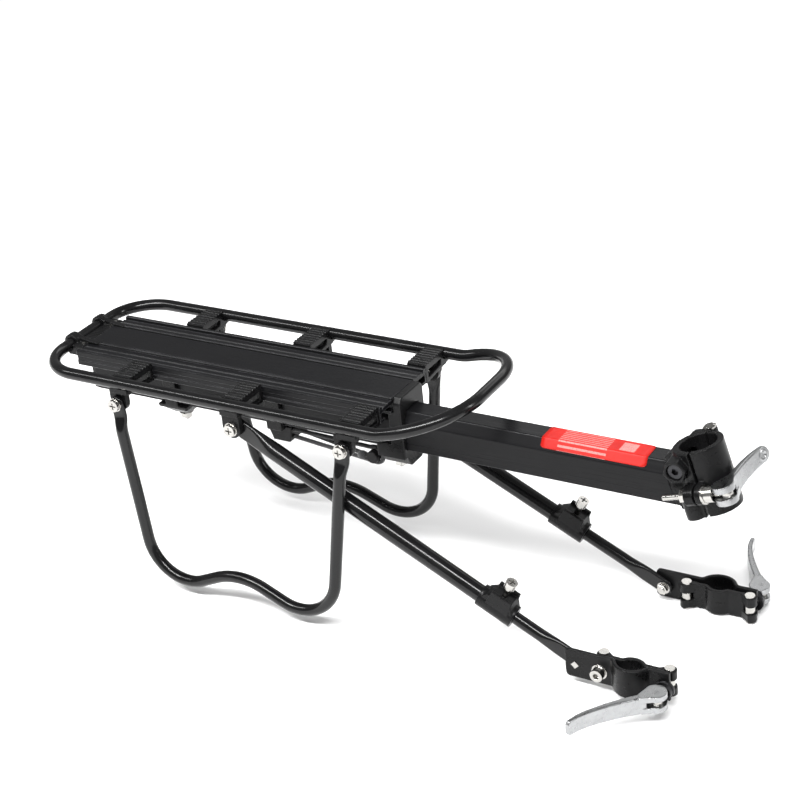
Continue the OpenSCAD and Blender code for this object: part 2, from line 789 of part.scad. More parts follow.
// Level frame whose x and z start at the strut's lower bolt; y stays the rack's own
module on_stay(side) {
    sided(side) translate([pivot_x + reach(side) * cos(slope(side)), 0,
        pivot_z - reach(side) * sin(slope(side))]) children();
}

// Upright prism of the seatstay clamp's height
module stay_prism(z0, z1) {
    translate([0, 0, z0]) linear_extrude(z1 - z0) children();
}

// Curved wall on one side of the seatstay, between its two chords
module stay_arc(towards) {
    centre_y = stay_y + towards * (stay_arc_rise - stay_arc_r);
    intersection() {
        translate([stay_centre_x, centre_y]) difference() {
            circle(stay_arc_r + stay_wall);
            circle(stay_arc_r);
        }
        translate([stay_centre_x - 20, towards > 0 ? stay_plate_y : jaw_y - 20 + 3]) square([40, 20]);
    }
}

module stay_clamp(side) {
    color("#161618") on_stay(side) difference() {
        stay_prism(stay_plate_bottom, stay_plate_top) {
            translate([-9, stay_plate_y]) square([45.5, stay_wall]);
            stay_arc(1);
            translate([63.5, stay_plate_y]) square([eye_x - 57, stay_wall]);
        }
        across(0, 0, 0, 120, bolt_r);
        across(hinge_x, -0.5, 0, 120, shank_r + 0.3);
        translate([eye_x - shank_r - 1, 0, -shank_r - 0.8]) cube([20, 120, 2 * shank_r + 0.6]);
    }
}

module stay_bolt(side) {
    color("silver") on_stay(side) {
        across(0, 0, strut_y - flat_t / 2 - 6, stay_plate_y + stay_wall, bolt_r);
        translate([0, stay_plate_y + stay_wall, 0]) rotate([-90, 0, 0]) rotate([0, 0, 45])
            cylinder(h = 1.2, r = 4.6, $fn = 4);
        across(0, 0, strut_y - flat_t / 2 - 1.1, strut_y - flat_t / 2 - 0.1, 6);
        translate([0, strut_y - flat_t / 2 - 4.9, 0]) rotate([-90, 0, 0]) cylinder(h = 3.8, r = 5, $fn = 6);
    }
}

// Eye on the hinge pin, shank through the clamp plate, washer and socket head outside
module hinge_bolt(side) {
    plate_out = stay_plate_y + stay_wall;
    color("silver") on_stay(side) translate([0, 0, -0.5]) difference() {
        union() {
            translate([hinge_x, jaw_y, -eye_half_h]) cylinder(h = 2 * eye_half_h, r = 4.4);
            across(hinge_x, 0, jaw_y, plate_out + 5, shank_r);
            across(hinge_x, 0, plate_out + 0.05, plate_out + 1.3, 7);
            across(hinge_x, 0, plate_out + 1.3, plate_out + 8, 5.6);
        }
        translate([hinge_x, jaw_y, 0]) cylinder(h = 30, r = pin_r + slip, center = true);
        translate([hinge_x, plate_out + 5, 0]) rotate([-90, 0, 0]) cylinder(h = 4, r = 2.8, $fn = 6);
    }
}

module stay_washers(side) {
    from = stay_plate_y + stay_wall + 0.02;
    to = cam_y - cam_reach(stay_closed - stay_arm_right);
    color("#2a2a2c") on_stay(side) translate([0, 0, -0.5]) difference() {
        union() {
            across(eye_x, 0, from, from + 2.6, 8.4);
            across(eye_x, 0, from + 2.6, to, 7.4);
        }
        across(eye_x, 0, 0, 120, shank_r + 1);
    }
}

module stay_jaw(side) {
    color("#161618") on_stay(side) difference() {
        stay_prism(stay_bottom, stay_top) {
            stay_arc(-1);
            for (x = [hinge_x, eye_x]) translate([x, jaw_y]) circle(knuckle_r);
            translate([hinge_x, jaw_y - 3]) square([stay_centre_x - 11.5 - hinge_x, 5.2]);
            translate([stay_centre_x + 11.5, jaw_y - 3]) square([eye_x - stay_centre_x - 11.5, 5.2]);
        }
        // forks for the two eyes
        for (x = [hinge_x, eye_x]) {
            translate([x, jaw_y, -0.5 - eye_half_h - 0.2]) cylinder(h = 2 * eye_half_h + 0.4, r = 5.6);
            translate([x, jaw_y, 0]) cylinder(h = 60, r = pin_r, center = true);
        }
        translate([eye_x, jaw_y - 8, -0.5 - eye_half_h - 0.2]) cube([12, 16, 2 * eye_half_h + 0.4]);
        translate([hinge_x - 12, jaw_y - 8, -0.5 - eye_half_h - 0.2]) cube([12, 16, 2 * eye_half_h + 0.4]);
    }
}

module jaw_pins(side) {
    color("silver") on_stay(side) for (x = [hinge_x, eye_x]) translate([x, jaw_y, 0]) {
        translate([0, 0, stay_bottom - 1.4]) cylinder(h = 1.4, r = 4.4);
        translate([0, 0, stay_bottom]) cylinder(h = stay_top - stay_bottom, r = pin_r);
        translate([0, 0, stay_top]) cylinder(h = 1.6, r = 4.4);
    }
}

// Quick-release eyebolt: eye on the jaw's pin, shank through the slot, cam eye and cam pin outside
module stay_eyebolt(side) {
    color("silver") on_stay(side) translate([eye_x, 0, -0.5]) {
        difference() {
            union() {
                translate([0, jaw_y, -eye_half_h]) cylinder(h = 2 * eye_half_h, r = 4.4);
                across(0, 0, jaw_y, cam_y, shank_r - 0.4);
            }
            translate([0, jaw_y, 0]) cylinder(h = 30, r = pin_r, center = true);
        }
        translate([0, cam_y, -fork_inner + 0.3]) cylinder(h = 2 * fork_inner - 0.6, r = 5);
        translate([0, cam_y, -fork_outer]) cylinder(h = 2 * fork_outer, r = pin_r);
    }
}

module stay_lever(side) {
    color("#c9cbcd") on_stay(side) translate([eye_x, cam_y, -0.5])
        cam_lever(lever_length, side == LEFT ? stay_arm_left : stay_arm_right, stay_closed);
}

// ---------- the rack ----------

beam();
beam_end_cap();
beam_label();
seatpost_bracket();
bracket_bolt();
seatpost_jaw();
seatpost_hinge_pin();
seatpost_skewer();
seatpost_washers();
seatpost_lever();
deck_loop();
deck_plate();
rear_hooks();
hook_screws();
front_saddle();
rear_saddle();
mid_hanger();
saddle_bolts();
luggage_cord();
sided(LEFT) rail_bracket(bracket_x[0], guard_rear_x, guard_bolt_z, lug_in);  // bracket_rear_left
sided(RIGHT) rail_bracket(bracket_x[0], guard_rear_x, guard_bolt_z, lug_in);  // bracket_rear_right
sided(LEFT) rail_bracket(bracket_x[1], pivot_x, pivot_z, strut_y + flat_t / 2 + 0.1);  // bracket_mid_left
sided(RIGHT) rail_bracket(bracket_x[1], pivot_x, pivot_z, strut_y + flat_t / 2 + 0.1);  // bracket_mid_right
sided(LEFT) rail_bracket(bracket_x[2], guard_front_x, guard_bolt_z, lug_in);  // bracket_front_left
sided(RIGHT) rail_bracket(bracket_x[2], guard_front_x, guard_bolt_z, lug_in);  // bracket_front_right
sided(LEFT) guard();  // guard_left
sided(RIGHT) guard();  // guard_right
guard_bolts();
strut_pivot_bolts();
strut(LEFT);  // strut_left
strut(RIGHT);  // strut_right
collar(LEFT);  // collar_left
collar(RIGHT);  // collar_right
collar_screw(LEFT);  // collar_screw_left
collar_screw(RIGHT);  // collar_screw_right
rod(LEFT);  // rod_left
rod(RIGHT);  // rod_right
stay_bolt(LEFT);  // stay_bolt_left
stay_bolt(RIGHT);  // stay_bolt_right
stay_clamp(LEFT);  // stay_clamp_left
stay_clamp(RIGHT);  // stay_clamp_right
hinge_bolt(LEFT);  // hinge_bolt_left
hinge_bolt(RIGHT);  // hinge_bolt_right
stay_washers(LEFT);  // stay_washers_left
stay_washers(RIGHT);  // stay_washers_right
stay_jaw(LEFT);  // stay_jaw_left
stay_jaw(RIGHT);  // stay_jaw_right
jaw_pins(LEFT);  // jaw_pins_left
jaw_pins(RIGHT);  // jaw_pins_right
stay_eyebolt(LEFT);  // stay_eyebolt_left
stay_eyebolt(RIGHT);  // stay_eyebolt_right
stay_lever(LEFT);  // stay_lever_left
stay_lever(RIGHT);  // stay_lever_right
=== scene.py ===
"""Looks of a quick-release rear rack for a bicycle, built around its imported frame.

Pieces are drawn in millimetres, in the frame's own axes (origin in the seatpost bore, +X
forwards, +Y to the left, +Z up), and turned into metres when they are made.
"""

import json
from math import ceil, cos, hypot, pi, radians, sin, sqrt, tan

import bmesh
import bpy
from mathutils import Matrix, Vector


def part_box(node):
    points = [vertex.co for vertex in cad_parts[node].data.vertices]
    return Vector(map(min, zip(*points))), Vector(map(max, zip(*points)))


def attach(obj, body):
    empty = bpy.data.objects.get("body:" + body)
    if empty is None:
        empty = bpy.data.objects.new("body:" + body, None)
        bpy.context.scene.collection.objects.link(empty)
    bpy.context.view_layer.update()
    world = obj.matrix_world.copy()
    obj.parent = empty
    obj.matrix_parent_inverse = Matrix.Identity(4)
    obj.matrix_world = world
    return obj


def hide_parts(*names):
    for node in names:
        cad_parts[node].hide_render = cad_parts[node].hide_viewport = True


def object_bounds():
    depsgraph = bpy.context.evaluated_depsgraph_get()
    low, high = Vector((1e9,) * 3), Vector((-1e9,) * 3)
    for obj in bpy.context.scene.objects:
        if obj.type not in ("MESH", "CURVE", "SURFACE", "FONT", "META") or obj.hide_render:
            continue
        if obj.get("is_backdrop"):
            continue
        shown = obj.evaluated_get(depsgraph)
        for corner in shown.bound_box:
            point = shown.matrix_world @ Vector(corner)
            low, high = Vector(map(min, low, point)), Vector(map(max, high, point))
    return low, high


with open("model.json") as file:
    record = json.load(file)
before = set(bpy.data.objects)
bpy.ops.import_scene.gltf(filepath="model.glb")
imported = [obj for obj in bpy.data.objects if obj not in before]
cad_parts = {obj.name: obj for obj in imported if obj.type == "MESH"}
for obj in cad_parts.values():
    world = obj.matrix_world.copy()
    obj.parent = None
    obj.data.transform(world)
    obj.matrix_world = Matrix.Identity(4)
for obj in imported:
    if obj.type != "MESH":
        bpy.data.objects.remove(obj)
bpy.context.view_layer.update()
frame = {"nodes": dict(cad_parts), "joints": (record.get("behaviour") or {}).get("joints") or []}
nodes = frame["nodes"]
joints = {joint["name"]: joint for joint in frame["joints"]}

MM = 0.001
SIDES = {"left": 1, "right": -1}
UPWARDS = Vector((0, 0, 1))
ACROSS = Vector((0, 1, 0))

# Sizes in millimetres, as the frame has them
TUBE_R = 5.5
RAIL_Y = 77
DECK_Z = 24.2
LOOP_REAR = -630
BOLT_R = 2.5
SEATPOST_LEAN = Matrix.Rotation(radians(-17), 3, "Y")


def mm(point):
    """A frame point, given in metres, in millimetres."""
    return Vector(point) * 1000


# ---------- materials ----------


class Graph:
    """A material's node tree, with short calls for the nodes used here."""

    def __init__(self, name):
        self.material = bpy.data.materials.new(name)
        self.material.use_nodes = True
        self.tree = self.material.node_tree
        self.shader = self.tree.nodes["Principled BSDF"]
        self.place = self.add("ShaderNodeTexCoord").outputs["Object"]

    def add(self, kind, **settings):
        node = self.tree.nodes.new(kind)
        for key, value in settings.items():
            setattr(node, key, value)
        return node

    def put(self, socket, value):
        if isinstance(value, bpy.types.NodeSocket):
            self.tree.links.new(value, socket)
        else:
            socket.default_value = value

    def set(self, **values):
        for key, value in values.items():
            self.put(self.shader.inputs[key.replace("_", " ")], value)

    def stretched(self, x, y, z):
        node = self.add("ShaderNodeMapping")
        self.put(node.inputs["Vector"], self.place)
        node.inputs["Scale"].default_value = (x, y, z)
        return node.outputs["Vector"]

    def noise(self, scale, detail=3.0, rough=0.55, where=None):
        node = self.add("ShaderNodeTexNoise")
        self.put(node.inputs["Vector"], where or self.place)
        node.inputs["Scale"].default_value = scale
        node.inputs["Detail"].default_value = detail
        node.inputs["Roughness"].default_value = rough
        return node.outputs["Fac"]

    def ramp(self, value, low, high, to_low=0.0, to_high=1.0):
        node = self.add("ShaderNodeMapRange")
        self.put(node.inputs["Value"], value)
        names = ("From Min", "From Max", "To Min", "To Max")
        for name, number in zip(names, (low, high, to_low, to_high)):
            self.put(node.inputs[name], number)
        return node.outputs["Result"]

    def math(self, operation, a, b):
        node = self.add("ShaderNodeMath", operation=operation)
        self.put(node.inputs[0], a)
        self.put(node.inputs[1], b)
        return node.outputs[0]

    def between(self, value, low, high):
        """1 where value lies between low and high, else 0."""
        above = self.math("GREATER_THAN", value, low)
        return self.math("MULTIPLY", above, self.math("LESS_THAN", value, high))

    def mix(self, fac, a, b):
        node = self.add("ShaderNodeMix", data_type="RGBA")
        self.put(node.inputs["Factor"], fac)
        for socket, colour in ((node.inputs[6], a), (node.inputs[7], b)):
            self.put(socket, (*colour, 1) if isinstance(colour, tuple) else colour)
        return node.outputs[2]

    def bump(self, height, depth):
        """Raises the surface by depth millimetres where height is 1."""
        node = self.add("ShaderNodeBump")
        self.put(node.inputs["Height"], height)
        node.inputs["Distance"].default_value = depth * MM
        node.inputs["Strength"].default_value = 1.0
        self.put(self.shader.inputs["Normal"], node.outputs["Normal"])

    def edges(self, radius):
        """1 on sharp edges, 0 on flat ground."""
        bevel = self.add("ShaderNodeBevel", samples=4)
        bevel.inputs["Radius"].default_value = radius * MM
        sharp = self.add("ShaderNodeNewGeometry").outputs["Normal"]
        dot = self.add("ShaderNodeVectorMath", operation="DOT_PRODUCT")
        self.put(dot.inputs[0], bevel.outputs["Normal"])
        self.put(dot.inputs[1], sharp)
        return self.ramp(dot.outputs["Value"], 0.985, 0.90)


def coating(name, colour, rough, grain_depth, grain_scale, worn=(0.06, 0.06, 0.063), clear=0.0, shine=0.24):
    """Black paint or powder coat: patchy sheen, a fine skin texture and slightly rubbed edges."""
    g = Graph(name)
    patches = g.noise(38, 4)
    dust = g.noise(210, 5, 0.6)
    skin = g.noise(grain_scale, 2, 0.5)
    lighter = tuple(c * 1.7 + 0.001 for c in colour)
    body = g.mix(g.ramp(patches, 0.35, 0.7), colour, lighter)
    rubbed = g.math("MULTIPLY", g.edges(0.45), g.ramp(dust, 0.42, 0.62, 0.15, 0.75))
    sheen = g.ramp(patches, 0.3, 0.7, rough - 0.04, rough + 0.05)
    dull = g.ramp(dust, 0.4, 0.7, 0.0, 0.05)
    g.set(Base_Color=g.mix(rubbed, body, worn), Roughness=g.math("ADD", sheen, dull))
    g.set(Specular_IOR_Level=shine, Coat_Weight=clear, Coat_Roughness=0.06)
    g.bump(skin, grain_depth)
    return g.material


def extruded(name, colour, rough):
    """Anodised extrusion: fine die lines along X over a faint etched grain."""
    g = Graph(name)
    lines = g.noise(1.0, 5, 0.7, g.stretched(6, 1900, 1900))
    patches = g.noise(24, 4)
    etched = g.noise(2600, 2)
    lighter = tuple(c * 1.35 for c in colour)
    rubbed = g.math("MULTIPLY", g.edges(0.4), g.ramp(patches, 0.35, 0.6, 0.2, 0.8))
    blend = g.math("ADD", g.math("MULTIPLY", lines, 0.5), g.math("MULTIPLY", patches, 0.5))
    body = g.mix(g.ramp(blend, 0.35, 0.65), colour, lighter)
    sheen = g.ramp(lines, 0.3, 0.7, rough - 0.06, rough + 0.08)
    g.set(Base_Color=g.mix(rubbed, body, (0.13, 0.13, 0.135)), Roughness=sheen, Specular_IOR_Level=0.14)
    g.bump(g.math("ADD", g.math("MULTIPLY", lines, 0.7), g.math("MULTIPLY", etched, 0.3)), 0.007)
    return g.material


def plated(name, colour, rough, grain=0.012, stretch=None):
    """Bright metal: slight cloudiness with darker patches, and fine scratches."""
    g = Graph(name)
    clouds = g.noise(160, 4)
    scratches = g.noise(1.0, 4, 0.7, g.stretched(*(stretch or (900, 900, 240))))
    darker = tuple(c * 0.86 for c in colour)
    g.set(Metallic=1.0, Base_Color=g.mix(g.ramp(clouds, 0.3, 0.62), darker, colour))
    sheen = g.ramp(clouds, 0.3, 0.7, rough - 0.03, rough + 0.03)
    g.set(Roughness=g.math("ADD", sheen, g.ramp(scratches, 0.35, 0.7, 0.0, 0.05)))
    g.bump(scratches, grain)
    return g.material


LABEL_X = (-143, -48)
LABEL_Y = (-15.5, 9.3)
BAR_ROWS = 9.0
BAR_SHARE = 0.42


def film(name):
    """Printed film with plain pale bars and one plain block on its flat face, and no lettering."""
    g = Graph(name)
    split = g.add("ShaderNodeSeparateXYZ")
    g.put(split.inputs["Vector"], g.place)
    along = g.ramp(split.outputs["X"], LABEL_X[0] * MM, LABEL_X[1] * MM)
    across = g.ramp(split.outputs["Y"], LABEL_Y[0] * MM, LABEL_Y[1] * MM)
    rows = g.math("FRACT", g.math("MULTIPLY", across, BAR_ROWS), 0.0)
    bars = g.math("MULTIPLY", g.math("LESS_THAN", rows, BAR_SHARE), g.between(along, 0.16, 0.62))
    block = g.math("MULTIPLY", g.between(along, 0.72, 0.86), g.between(across, 0.34, 0.86))
    pale = g.math("MULTIPLY", g.math("MAXIMUM", bars, block), g.ramp(g.noise(900, 3), 0.3, 0.5, 0.2, 0.6))
    red = g.mix(g.ramp(g.noise(60, 3), 0.3, 0.7), (0.34, 0.007, 0.005), (0.42, 0.012, 0.008))
    sheen = g.ramp(g.noise(300, 3), 0.3, 0.7, 0.3, 0.42)
    g.set(Base_Color=g.mix(pale, red, (0.60, 0.30, 0.28)), Roughness=sheen, Specular_IOR_Level=0.2)
    g.bump(g.noise(1400, 3), 0.02)
    return g.material


def braid(name):
    """Woven sleeve of an elastic cord."""
    g = Graph(name)
    waves = []
    for turn in (0.75, -0.75):
        mapping = g.add("ShaderNodeMapping")
        g.put(mapping.inputs["Vector"], g.place)
        mapping.inputs["Rotation"].default_value = (0, turn, 0)
        wave = g.add("ShaderNodeTexWave", wave_type="BANDS", bands_direction="X")
        g.put(wave.inputs["Vector"], mapping.outputs["Vector"])
        wave.inputs["Scale"].default_value = 320
        wave.inputs["Distortion"].default_value = 0.6
        waves.append(wave.outputs["Fac"])
    weave = g.math("MULTIPLY", *waves)
    g.set(Base_Color=g.mix(weave, (0.006, 0.006, 0.007), (0.035, 0.035, 0.037)), Roughness=0.72)
    g.set(Sheen_Weight=0.25, Sheen_Roughness=0.5)
    g.bump(weave, 0.35)
    return g.material


gloss_black = coating("gloss_black_paint", (0.003, 0.003, 0.0032), 0.18, 0.001, 420, clear=0.12)
cast_black = coating("cast_black_coat", (0.004, 0.004, 0.0042), 0.27, 0.009, 900, shine=0.15)
plastic_black = coating("black_plastic", (0.009, 0.009, 0.009), 0.5, 0.05, 1500, worn=(0.03, 0.03, 0.03))
anodised_black = extruded("anodised_black", (0.0045, 0.0045, 0.005), 0.3)
bright_steel = plated("bright_zinc_steel", (0.45, 0.44, 0.42), 0.17, 0.004)
dark_steel = plated("black_oxide_steel", (0.045, 0.045, 0.048), 0.36)
lever_metal = plated("polished_alloy", (0.36, 0.365, 0.37), 0.27, 0.003, (700, 240, 240))
red_film = film("red_film")
cord_sleeve = braid("cord_sleeve")


# ---------- shapes ----------


def finish_mesh(name, bm, body, material, smooth=True):
    """Turns a bmesh drawn in millimetres into a piece that rides on a body."""
    bmesh.ops.recalc_face_normals(bm, faces=bm.faces)
    bmesh.ops.scale(bm, vec=(MM, MM, MM), verts=bm.verts)
    mesh = bpy.data.meshes.new(name)
    bm.to_mesh(mesh)
    bm.free()
    for face in mesh.polygons:
        face.use_smooth = smooth
    piece = bpy.data.objects.new(name, mesh)
    bpy.context.scene.collection.objects.link(piece)
    mesh.materials.append(material)
    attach(piece, body)
    return piece


def applied(piece):
    """Replaces a piece's mesh by the result of its modifiers."""
    seen = piece.evaluated_get(bpy.context.evaluated_depsgraph_get())
    mesh = bpy.data.meshes.new_from_object(seen)
    piece.modifiers.clear()
    piece.data = mesh
    for face in mesh.polygons:
        face.use_smooth = True


def soften(piece, width):
    """Rounds a piece's sharp edges."""
    weld = piece.modifiers.new("weld", "WELD")
    weld.merge_threshold = 1e-6
    bevel = piece.modifiers.new("bevel", "BEVEL")
    bevel.width = width * MM
    bevel.segments = 3
    bevel.limit_method = "ANGLE"
    bevel.angle_limit = radians(28)
    bevel.harden_normals = False
    bevel.use_clamp_overlap = True


def melt(piece, voxel, rounds):
    """Fuses a piece's solids and rounds every edge and inner corner, as a casting has them."""
    remesh = piece.modifiers.new("remesh", "REMESH")
    remesh.mode = "VOXEL"
    remesh.voxel_size = voxel * MM
    ease = piece.modifiers.new("ease", "SMOOTH")
    ease.factor = 0.5
    ease.iterations = rounds
    applied(piece)


def cast(node, voxel, rounds, body, change=None):
    """A cast copy of a CAD node. change(bmesh), if given, alters it first, in millimetres."""
    bm = bmesh.new()
    bm.from_mesh(nodes[node].data)
    bmesh.ops.scale(bm, vec=(1000, 1000, 1000), verts=bm.verts)
    if change:
        change(bm)
    casting(f"{node}_casting", bm, voxel, rounds, body, node)


def casting(name, bm, voxel, rounds, body, node, material=cast_black):
    """A cast piece from a bmesh of closed solids, in place of a CAD node."""
    piece = finish_mesh(name, bm, body, material)
    melt(piece, voxel, rounds)
    piece.data.materials.clear()
    piece.data.materials.append(material)
    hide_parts(node)
    return piece


def straight(start, stop, steps):
    """Evenly spaced points from start to stop, both included."""
    return [start + (stop - start) * (i / steps) for i in range(steps + 1)]


# longest steps of a tube's straight runs and of its bends, and steps round a quarter of its section
RUN_STEP = 12
BEND_STEP = 2.0
QUARTER_STEPS = 8


def rounded_path(corners, bends):
    """Points along straight runs joined by arcs; corners are vectors, one bend radius each."""
    points = [corners[0].copy()]

    def run_to(point):
        steps = max(1, ceil((point - points[-1]).length / RUN_STEP))
        return straight(points[-1], point, steps)[1:]

    for before, corner, after, bend in zip(corners, corners[1:], corners[2:], bends[1:]):
        into = (corner - before).normalized()
        out = (after - corner).normalized()
        turn = into.angle(out)
        reach = bend * tan(turn / 2)
        start = corner - into * reach
        inward = (out - into * into.dot(out)).normalized()
        centre = start + inward * bend
        points += run_to(start)[:-1]
        arc = max(4, ceil(turn * bend / BEND_STEP))
        for i in range(arc + 1):
            angle = turn * i / arc
            points.append(centre - inward * bend * cos(angle) + into * bend * sin(angle))
    return points + run_to(corners[-1])


def section_ring(half_u, half_v, corner):
    """A closed rectangle outline with round corners: a circle when all three are the same."""
    corner = min(corner, half_u - 0.01, half_v - 0.01)
    ring = []
    for quarter in range(4):
        cu = (half_u - corner) * (1 if quarter in (0, 3) else -1)
        cv = (half_v - corner) * (1 if quarter in (0, 1) else -1)
        for i in range(QUARTER_STEPS + 1):
            angle = pi / 2 * (quarter + i / QUARTER_STEPS)
            ring.append((cu + corner * cos(angle), cv + corner * sin(angle)))
    return ring


def sweep(bm, path, flat_way, shape, closed=False):
    """Adds a bar along path. shape(s) gives its half width, half thickness, corner radius and
    shift along flat_way at length s; thickness is measured along flat_way."""
    rings = []
    travelled = 0.0
    for i, point in enumerate(path):
        if i:
            travelled += (point - path[i - 1]).length
        before = path[i - 1] if i or closed else path[i]
        after = path[(i + 1) % len(path)] if i + 1 < len(path) or closed else path[i]
        ahead = (after - before).normalized()
        thick = (flat_way - ahead * flat_way.dot(ahead)).normalized()
        wide = ahead.cross(thick)
        half_w, half_t, corner, shift = shape(travelled)
        ring = section_ring(half_w, half_t, corner)
        rings.append([bm.verts.new(point + wide * u + thick * (v + shift)) for u, v in ring])
    loft(bm, rings, closed)


def loft(bm, rings, closed=False):
    """Joins rings of vertices into a skin, closed in itself or capped at both ends."""
    count = len(rings[0])
    pairs = list(zip(rings, rings[1:]))
    if closed:
        pairs.append((rings[-1], rings[0]))
    for a, b in pairs:
        for k in range(count):
            bm.faces.new((a[k], a[(k + 1) % count], b[(k + 1) % count], b[k]))
    if not closed:
        bm.faces.new(rings[0])
        bm.faces.new(rings[-1])


def pipe(name, path, flat_way, shape, body):
    """A black painted bar along path."""
    bm = bmesh.new()
    sweep(bm, path, flat_way, shape)
    return finish_mesh(name, bm, body, gloss_black)


def prism(bm, outline, place, low, high):
    """Adds an extrusion: place(u, v, w) puts outline point (u, v) at height w in the frame."""
    loft(bm, [[bm.verts.new(place(u, v, w)) for u, v in outline] for w in (low, high)])


def block(bm, low, high):
    """Adds a box between two corners."""
    (x0, y0, z0), (x1, y1, z1) = low, high
    prism(bm, [(x0, y0), (x1, y0), (x1, y1), (x0, y1)], lambda u, v, w: Vector((u, v, w)), z0, z1)


def polygon(radius, sides):
    """Corners of a regular polygon, the first one at angle 0."""
    return [(radius * cos(2 * pi * k / sides), radius * sin(2 * pi * k / sides)) for k in range(sides)]


def path_length(path):
    """Length along the points of a path."""
    return sum((b - a).length for a, b in zip(path, path[1:]))


def round_bar(radius):
    """The shape, for sweep, of a round bar."""
    return lambda s: (radius, radius, radius, 0)


def ease_in(t):
    """0 up to t = 0, 1 from t = 1, and a smooth rise between them."""
    t = max(0.0, min(1.0, t))
    return t * t * (3 - 2 * t)


def lathe(bm, origin, axis, outline, count=48):
    """Adds a turned shape: outline is (radius, height) pairs from the axis round to the axis."""
    axis = axis.normalized()
    side = axis.orthogonal().normalized()
    up = axis.cross(side)
    spokes = [side * u + up * v for u, v in polygon(1, count)]
    rings = []
    for radius, height in outline:
        middle = origin + axis * height
        if radius == 0:
            rings.append([bm.verts.new(middle)])
        else:
            rings.append([bm.verts.new(middle + spoke * radius) for spoke in spokes])
    for a, b in zip(rings, rings[1:]):
        for k in range(count):
            n = (k + 1) % count
            corners = [a[k % len(a)], a[n % len(a)], b[n % len(b)], b[k % len(b)]]
            unique = list(dict.fromkeys(corners))
            if len(unique) > 2:
                bm.faces.new(unique)


# ---------- deck ----------


LOOP_START = -450
LOOP_KINK = -262
LOOP_UPSWEPT = 70
LOOP_LIFT = radians(15)
REAR_BEND = 42
KINK_BEND = 40
FRONT_BEND = 60


def loop_tube():
    """The deck's tube loop: level rails and an upswept front."""
    lift = Vector((cos(LOOP_LIFT), 0, sin(LOOP_LIFT))) * LOOP_UPSWEPT
    kink = Vector((LOOP_KINK, 0, DECK_Z))
    left = Vector((0, RAIL_Y, 0))
    rear = Vector((LOOP_REAR, 0, DECK_Z))
    start = Vector((LOOP_START, RAIL_Y, DECK_Z))
    corners = [start, rear + left, rear - left, kink - left]
    corners += [kink + lift - left, kink + lift + left, kink + left, start]
    bends = [0, REAR_BEND, REAR_BEND, KINK_BEND, FRONT_BEND, FRONT_BEND, KINK_BEND, 0]
    bm = bmesh.new()
    sweep(bm, rounded_path(corners, bends)[:-1], UPWARDS, round_bar(TUBE_R), closed=True)
    piece = finish_mesh("loop_tube", bm, "deck", gloss_black)
    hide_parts("deck_loop")


PLATE_HALF = 40.5


def deck_extrusion():
    """The deck plate: a flat middle band between two ribs, lower side bands and raised edges."""
    rear, front = (c.x * 1000 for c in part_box("deck_plate"))
    half = [
        (16.2, 26.3), (16.9, 25.9), (17.1, 24.6), (18.0, 24.4), (18.4, 26.3), (18.9, 26.9), (20.0, 26.9),
        (20.5, 26.3), (20.8, 25.2), (26.4, 25.1), (26.9, 24.5), (27.6, 24.5), (28.1, 25.1), (33.4, 25.1),
        (34.0, 24.4), (34.4, 23.7), (35.8, 23.7), (36.2, 24.4), (36.6, 26.4), (37.2, 27.0), (39.6, 27.0),
        (40.3, 26.6), (PLATE_HALF, 25.9), (PLATE_HALF, 21.6), (39.7, 21.0), (39.7, 17.2),
        (PLATE_HALF, 16.6), (PLATE_HALF, 12.6),
        (39.9, 12.0), (33.4, 12.0), (33.4, 14.4), (38.0, 14.4), (38.0, 21.2), (18.4, 21.2), (18.4, 14.4),
        (22.2, 14.4), (22.2, 12.0), (16.1, 12.0), (15.5, 12.6), (15.5, 22.2),
    ]
    outline = [(-y, z) for y, z in reversed(half)] + half
    bm = bmesh.new()
    stations = [rear, rear + 0.5, front - 0.5, front]
    insets = [0.35, 0.0, 0.0, 0.35]
    rings = []
    for x, inset in zip(stations, insets):
        narrow = 1 - inset / PLATE_HALF
        rings.append([bm.verts.new((x, y * narrow, z + (18 - z) * inset / 15)) for y, z in outline])
    loft(bm, rings)
    piece = finish_mesh("deck_extrusion", bm, "deck", anodised_black, smooth=False)
    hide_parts("deck_plate")


GUARD_CORNERS = [(-537, 4.5), (-514.2, -186), (-420, -143.7), (-323, -184.4), (-296.5, 4.5)]
GUARD_BENDS = [0, 41, 66, 42, 0]
GUARD_Y = 82.1
GUARD_BOLT_Z = 4.5
GUARD_SPLAY = radians(2.6)
# half width and half thickness of the pressed ends, and lengths of their sections from the tip
GUARD_FLAT = (7.2, 2.5)
GUARD_STEPS = (0, 0.3, 1, 2, 3.4, 5, 7.2, 10, 13, 16, 19, 22, 25, 28, 31, 34)
# length of each pressed end, and of the growth from it to the round tube, and how far inwards it sits
GUARD_PRESSED = 17
GUARD_OFFSET = 2.05
# least square of the half width at a rounded tip, so that no section closes to a line
TIP_CLIP = 0.3


